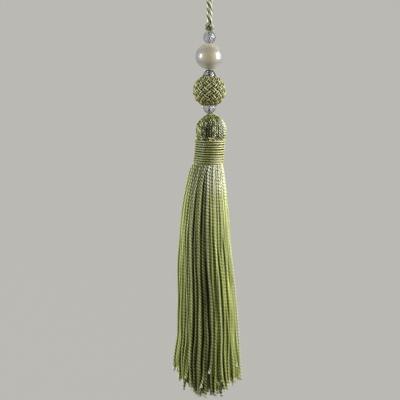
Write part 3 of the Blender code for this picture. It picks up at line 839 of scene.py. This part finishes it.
share = np.arange(-HIDDEN_POINTS, BINDING_TURNS * TURN_POINTS + HIDDEN_POINTS + 1)
share = share / (BINDING_TURNS * TURN_POINTS)
inside = np.clip(share, 0, 1)
angle = math.pi / 2 - 2 * math.pi * BINDING_TURNS * share
height = (BINDING_HALF - BINDING_THREAD / 2) * (1 - 2 * inside)
drawn_in = BINDING_WAIST * (1 - (height / BINDING_HALF) ** 2)
tucked = DIVE * BINDING_TURNS * np.abs(share - inside)
radius = BINDING_OUTER - BINDING_THREAD / 2 - drawn_in - tucked
wobble = BINDING_WOBBLE * np.sin(5 * math.pi * share * BINDING_TURNS + 2 * np.sin(angle))
tilt = BINDING_TILT_TOP + (BINDING_TILT_BOTTOM - BINDING_TILT_TOP) * inside
x = radius * np.cos(angle)
binding_route = np.column_stack([
    x * np.cos(tilt) + height * math.sin(LEAN),
    radius * np.sin(angle),
    BINDING_Z + height * math.cos(LEAN) - x * np.sin(tilt) + wobble,
])
# Painted light and shade: paler on the right, where the light falls, and at the left edge; each
# turn darkens with painted shade where it meets the next
binding = laid_threads(
    "binding_thread_turns", [binding_route], BINDING_THREAD, BINDING_LAY, plies=3, sides=6,
    tones=[np.interp(x / MM, (-9, -8, -6, 0, 9), (1.0, 0.5, 0.0, 0.45, 0.95))],
    outwards=[outward_from(binding_route, (0, 0, 0))], crowding=(0.85, 6.0), groove=0.8,
)
# Rayon whipping thread, hard twisted: golden olive, with cream dashes where a ply turns up. Its
# cream is painted light on the right, and the dark between plies and turns is painted shade
whipping = thread_material(
    "golden_rayon_whipping_thread", "#080A00", "#6E8414", "#DCD57E", filament=0.02,
    roughness=0.3, gloss=0.55,
)
fit(binding, whipping, "binding")

# ---- Skirt ----
# About three hundred strands of the same floss hang from the binding. They spread out, cling
# together in locks with dark gaps between them, and are cut to a ragged hem that is longest
# in the middle.

STRANDS = 300
OUTER_LAYERS = 195  # strands, counted from outside, that show their twist
INNER_POINT_STEP = 2.5 * MM
OUTER_POINT_STEP = 0.6 * MM
STRAND_DIAMETER = 1.32 * MM
NECK_FULLNESS = 0.75  # of its thickness that a strand has where the binding squeezes it
CUT_LENGTH = 2.0  # mm at the tip made pale: the frayed end, and painted light where it catches the light
LOCKS = 58
STRANDS_A_PIECE = 39
SKIRT_TOP = 34  # mm below the top of the head
SKIRT_POINT_STEP = 7.0  # mm
SKIRT_STARTS = ((0.94, -3.0), (1.08, -7.2))  # in the neck, as HEAD_ENDS

# On the unit disc: how far out roots and locks lie, how roots crowd outwards, and their scatter
ROOT_EDGE = 0.97
ROOT_CROWDING = 0.34
ROOT_SCATTER = 0.012
LOCK_EDGE = 0.93
LOCK_SCATTER = 0.045
DRIFT = 0.02  # of a strand that keeps to its lock
WANDER = 0.11  # of one that doesn't
WANDERERS = 0.12  # their share
WAVE = 0.02
TIP_SPRING = 0.045

TIP_SCATTER = 1.0  # mm
CUT_SHORT = 0.07  # share of the strands that are 2 to 9 mm short

# Skirt below the binding, in mm and degrees: depth below the top of the head, reach to the left
# and to the right of the cord, half the thickness front to back, lean
SKIRT_SECTIONS = np.array((
    (34.0, 11.5, 8.6, 9.8, 4.5),
    (44.6, 14.3, 9.8, 11.4, 3.6),
    (57.0, 16.5, 11.1, 12.9, 2.6),
    (69.4, 17.8, 12.0, 13.9, 1.8),
    (88.9, 18.8, 13.6, 14.9, 1.0),
    (110.0, 18.9, 15.9, 15.8, 0.6),
    (131.0, 19.6, 17.5, 16.6, 0.2),
    (145.5, 21.6, 18.3, 17.2, 0.0),
    (166.0, 22.2, 19.4, 17.8, 0.0),
))

# Hem, in mm: place across the skirt from -1 on the left to 1 on the right, depth of the tips
HEM = (
    (-1.0, 148.0),
    (-0.9, 151.0),
    (-0.82, 157.0),
    (-0.55, 158.5),
    (-0.42, 162.5),
    (-0.2, 165.0),
    (0.25, 166.0),
    (0.45, 163.5),
    (0.6, 159.5),
    (1.0, 157.5),
)
HEM_RISE_FRONT = 1.5  # mm by which the strands at the front and back are shorter
SHORT_STRAND = (0.1, -0.93)  # one in front, by its place on the disc
SHORT_TIP = 152.0  # depth of its tip in mm

# One strand hangs clear on the right: its place on the disc, the depths in mm over which it gets
# there, and the depths and places across within which all others stay
STRAY_STRAND = (0.99, -0.16)
STRAY_LEAVES = (60, 95)
OTHERS_STAY = ((88, 102, 136, 152), (1.0, 0.885, 0.885, 1.0))
OTHERS_REACH = 0.985

# Partings at the front, in shares of the skirt's reach: place across, depth in mm at which the
# parting starts, depth at which it is open, half the gap that it leaves, share of the gap that
# is left lower down
PARTINGS = (
    (-0.46, 36, 46, 0.03, 0.1),
    (-0.27, 78, 100, 0.035, 0.4),
    (-0.13, 34, 40, 0.04, 0.8),
    (0.03, 66, 84, 0.035, 0.6),
    (0.22, 40, 60, 0.02, 0.5),
    (0.50, 80, 100, 0.02, 0.2),
)
PARTING_CLOSES = (108, 138)  # depths in mm
PARTING_PUSH = 0.12  # share of the reach within which strands are pushed aside

LEFT_SHEET = (-0.45, -0.3)  # places across: left of them the strands hang close and even
TAUT = 0.7  # share of the pull to a lock and of the uneven dye that they are without


def sunflower(count, edge, crowding=0.5):
    """Points of a disc, the outermost first: evenly spread, or denser outside below 0.5."""
    number = np.arange(count)[::-1] + 0.5
    radius = edge * (number / count) ** crowding
    angle = number * math.pi * (3 - math.sqrt(5))
    return np.column_stack([radius * np.cos(angle), radius * np.sin(angle)])


def hem_depth(across, back):
    """Depth in mm at which the hem cuts a strand."""
    places, depths = zip(*HEM)
    rise = max(depths) - np.interp(across, places, depths)
    return max(depths) - math.hypot(rise, HEM_RISE_FRONT * back**2)


def parted(place, depths):
    """A strand's places on the disc, pushed out of the partings where it hangs at the front."""
    moved = place.copy()
    at_front = np.clip((-place[:, 1] - 0.3) / 0.25, 0, 1)
    for across, start, full, gap, left_open in PARTINGS:
        side = 1 if moved[:, 0].mean() > across else -1
        away = side * (moved[:, 0] - across)
        kept = np.maximum(away, 0)
        opened = np.interp(depths, (start, full, *PARTING_CLOSES), (0, 1, 1, left_open))
        opened = opened * at_front
        away += opened * (kept - away + gap * np.exp(-kept / PARTING_PUSH))
        moved[:, 0] = across + side * away
    return moved


roots = sunflower(STRANDS, ROOT_EDGE, ROOT_CROWDING)
roots = roots + rng.normal(0, ROOT_SCATTER, (STRANDS, 2))
short = int(np.argmin(np.linalg.norm(roots - SHORT_STRAND, axis=1)))
stray = int(np.argmin(np.linalg.norm(roots - STRAY_STRAND, axis=1)))
locks = sunflower(LOCKS, LOCK_EDGE) + rng.normal(0, LOCK_SCATTER, (LOCKS, 2))
lock_pull = rng.uniform(0.05, 0.25, LOCKS)
lock_drift = rng.normal(0, 0.035, (LOCKS, 2))
lock_turn = rng.normal(0, 0.6, LOCKS)
skirt_routes, skirt_fullness, skirt_tones, skirt_shades = [], [], [], []
skirt_turnings, skirt_grooves, skirt_crowding = [], [], []
for number, root in enumerate(roots):
    nearest = int(np.argmin(np.linalg.norm(locks - root - rng.normal(0, 0.05, 2), axis=1)))
    at_left = np.interp(root[0], LEFT_SHEET, (1.0, 0.0))
    wanders = number < OUTER_LAYERS and rng.random() < WANDERERS * (1 - at_left)
    drift = rng.normal(0, WANDER if wanders else DRIFT, 2)
    slow = rng.uniform(0, 2 * math.pi, 4)
    tip = hem_depth(*root) + rng.normal(0, TIP_SCATTER)
    tip -= (rng.random() < CUT_SHORT) * rng.uniform(2, 9) + 1.0 * (number >= OUTER_LAYERS)
    if number == short:
        tip = SHORT_TIP
    depths = np.concatenate([np.arange(SKIRT_TOP, tip - 4, SKIRT_POINT_STEP), [tip]])
    hung = depths[:, None] - SKIRT_TOP
    spread = np.interp(depths, (34, 50, 75, 120, 166), (0, 0.35, 0.9, 1.0, 0.8))[:, None]
    target = locks[nearest] + lock_drift[nearest] * hung / 60
    place = root + (target - root) * lock_pull[nearest] * (1 - TAUT * at_left) * spread
    place = place + drift * hung / 120
    waves = WAVE * np.column_stack([
        np.sin(depths / 11 + slow[0]) + 0.5 * np.sin(depths / 5 + slow[1]),
        np.sin(depths / 12 + slow[2]) + 0.5 * np.sin(depths / 6 + slow[3]),
    ])
    place = parted(place + waves * spread, depths)
    place[-1] += rng.normal(0, TIP_SPRING, 2)  # the cut end springs aside
    if number == stray:
        place += (STRAY_STRAND - place) * np.interp(depths, STRAY_LEAVES, (0, 1))[:, None]
    else:
        place[:, 0] = np.minimum(place[:, 0], np.interp(depths, *OTHERS_STAY))
    reach = np.linalg.norm(place, axis=1)[:, None]
    furthest = 1.0 if number == stray else OTHERS_REACH
    place = place * np.minimum(1, furthest / np.maximum(reach, 0.01))
    section = [np.interp(depths, SKIRT_SECTIONS[:, 0], SKIRT_SECTIONS[:, column])
               for column in range(1, 5)]
    hanging = on_section(place[:, 0], place[:, 1], (depths, *section))
    start = [on_neck(*(root * share), height * MM) for share, height in SKIRT_STARTS]
    point_step = OUTER_POINT_STEP if number < OUTER_LAYERS else INNER_POINT_STEP
    route = smooth_route(np.vstack([start, hanging]), point_step)
    from_binding = (BINDING_Z - BINDING_HALF - route[:, 2]) / MM
    skirt_routes.append(route)
    skirt_fullness.append(
        np.interp(from_binding, (0, 18, 60, 130), (NECK_FULLNESS, 1.0, 1.05, 1.15))
    )
    from_tip = (route[:, 2] - route[-1, 2]) / MM
    # Tone: at random, and painted lighter towards the top, where the light falls. Painted sheen
    # makes it cream where it bends out of the binding on the right, and the strand that hangs
    # clear
    # is made paler. Cream where it is cut: the frayed end, and painted light where it catches
    # light
    shine = np.interp(from_binding, (0, 10, 18, 40), (1.0, 0.8, 0.12, 0))
    at_right = np.interp(root[0], (-0.3, 0.3), (0, 1))
    tone = rng.uniform(0, 1) ** 1.3 * np.interp(from_binding, (35, 80), (0.5, 0.28))
    tone = tone + shine * 1.3 * at_right + 0.4 * (number == stray)
    skirt_tones.append(np.where(from_tip < CUT_LENGTH, 1.0, tone))
    # Painted shade, darker the deeper it lies among the others, and under the binding on the
    # left;
    # less of it near the cut end. On top, a darker dye on some strands at random
    buried = np.clip((0.88 - reach.ravel()) * 2.2, 0, 0.85)
    buried = np.interp(HEAD_TOP_Z - route[:, 2], depths * MM, buried)
    shade = buried + rng.choice([0.0, 0.0, 0.15, 0.35]) * (1 - TAUT * at_left) * (1 - shine)
    shade = shade * (number != stray)
    shade = shade + np.interp(from_binding, (0, 8, 25), (0.25, 0.15, 0.0)) * (1 - at_right)
    turn = lock_turn[nearest] + rng.normal(0, 0.35)
    skirt_turnings.append(2 * math.pi * route[:, 2] / STRAND_LAY + turn * (1 - 0.6 * at_left))
    # Painted shade between the plies, stronger on the left, away from the light, and at the
    # sides of each strand where it meets others
    skirt_grooves.append(np.interp(root[0], (-0.2, 0.4), (3.8, 0.8)))
    crowded = np.interp(root[0], (*LEFT_SHEET, 0.2, 0.6), (0.65, 1.5, 1.8, 2.4))
    # The outline's strands have no others in front of them, so they get no painted shade at
    # their sides
    at_edge = np.interp(abs(place[:, 0]).mean(), (0.7, 0.88), (0.0, 1.0))
    skirt_crowding.append(crowded * (1 - at_edge))
    skirt_shades.append(shade * np.interp(from_tip, (0, 6), (0.1, 1.0)))

for first in range(0, OUTER_LAYERS, STRANDS_A_PIECE):
    chosen = slice(first, first + STRANDS_A_PIECE)
    piece = laid_threads(
        f"skirt_strands_{first // STRANDS_A_PIECE + 1}", skirt_routes[chosen], STRAND_DIAMETER,
        STRAND_LAY, sides=4, tones=skirt_tones[chosen], shades=skirt_shades[chosen],
        fullness=skirt_fullness[chosen], untwist=0.5, groove=skirt_grooves[chosen],
        outwards=[outward_from(route, (-2 * MM, 0, 0)) for route in skirt_routes[chosen]],
        crowding=(0.58, skirt_crowding[chosen]), turning=skirt_turnings[chosen],
    )
    fit(piece, strand_rayon, "tassel")
chosen = slice(OUTER_LAYERS, STRANDS)
inner = laid_threads(
    "skirt_strands_inside", skirt_routes[chosen], STRAND_DIAMETER, STRAND_LAY, plies=1, sides=4,
    tones=skirt_tones[chosen], shades=skirt_shades[chosen], fullness=skirt_fullness[chosen],
)
fit(inner, strand_rayon, "tassel")

# ---- Floor, backdrop and light ----
# A pale floor with a pale wall all round it, a tall soft light on the right, a smaller one on
# the left, a wide weak one low in front, and a faint even light from everywhere.

FLOOR_Z = -0.95
ROOM_STEPS = 64
ROOM_PROFILE = (  # radius and height above the floor, from its middle to the ceiling's
    (0.02, 0), (1.7, 0), (2.2, 0.12), (2.5, 0.45), (2.6, 1.0), (2.6, 3.2), (2.2, 3.9),
    (1.2, 4.3), (0.02, 4.4),
)

room = finished(
    spun([(radius, FLOOR_Z + height) for radius, height in ROOM_PROFILE], ROOM_STEPS,
         closed=False, merged=0.05),
    "floor_and_backdrop",
)

# Pale matt paper with an even glow, as if lit by lamps of its own. It throws neither light nor
# shadow on the tassel.
paper, tree, shader = new_material("pale_studio_paper")
shader.inputs["Base Color"].default_value = linear("#C9C8C2")
shader.inputs["Roughness"].default_value = 0.9
shader.inputs["Emission Color"].default_value = linear("#DAD9D3")
shader.inputs["Emission Strength"].default_value = 0.62
room.data.materials.append(paper)
room.visible_diffuse = False
room.visible_glossy = False
room.visible_shadow = False


def soft_light(name, place, target, width, height, power):
    """A soft box that faces its target and isn't seen itself, in metres and watts."""
    light = bpy.data.lights.new(name, "AREA")
    light.shape = "RECTANGLE"
    light.size = width
    light.size_y = height
    light.energy = power
    lamp = bpy.data.objects.new(name, light)
    bpy.context.scene.collection.objects.link(lamp)
    lamp.location = place
    lamp.rotation_euler = (Vector(place) - Vector(target)).to_track_quat("Z", "Y").to_euler()
    lamp.visible_camera = False
    lamp.visible_transmission = False


soft_light("right_softbox", (0.30, -0.05, -0.03), (0, 0, -0.11), 0.2, 0.28, 3.4)
soft_light("left_softbox", (-0.30, -0.06, -0.035), (0, 0, -0.12), 0.07, 0.12, 1.9)
soft_light("low_panel", (0, -0.36, -0.44), (0, 0, -0.05), 0.6, 0.4, 0.45)

world = bpy.data.worlds.new("studio")
bpy.context.scene.world = world
world.use_nodes = True
world.node_tree.nodes["Background"].inputs["Color"].default_value = linear("#F2F1EC")
world.node_tree.nodes["Background"].inputs["Strength"].default_value = 0.08
bpy.context.scene.view_settings.view_transform = "Standard"
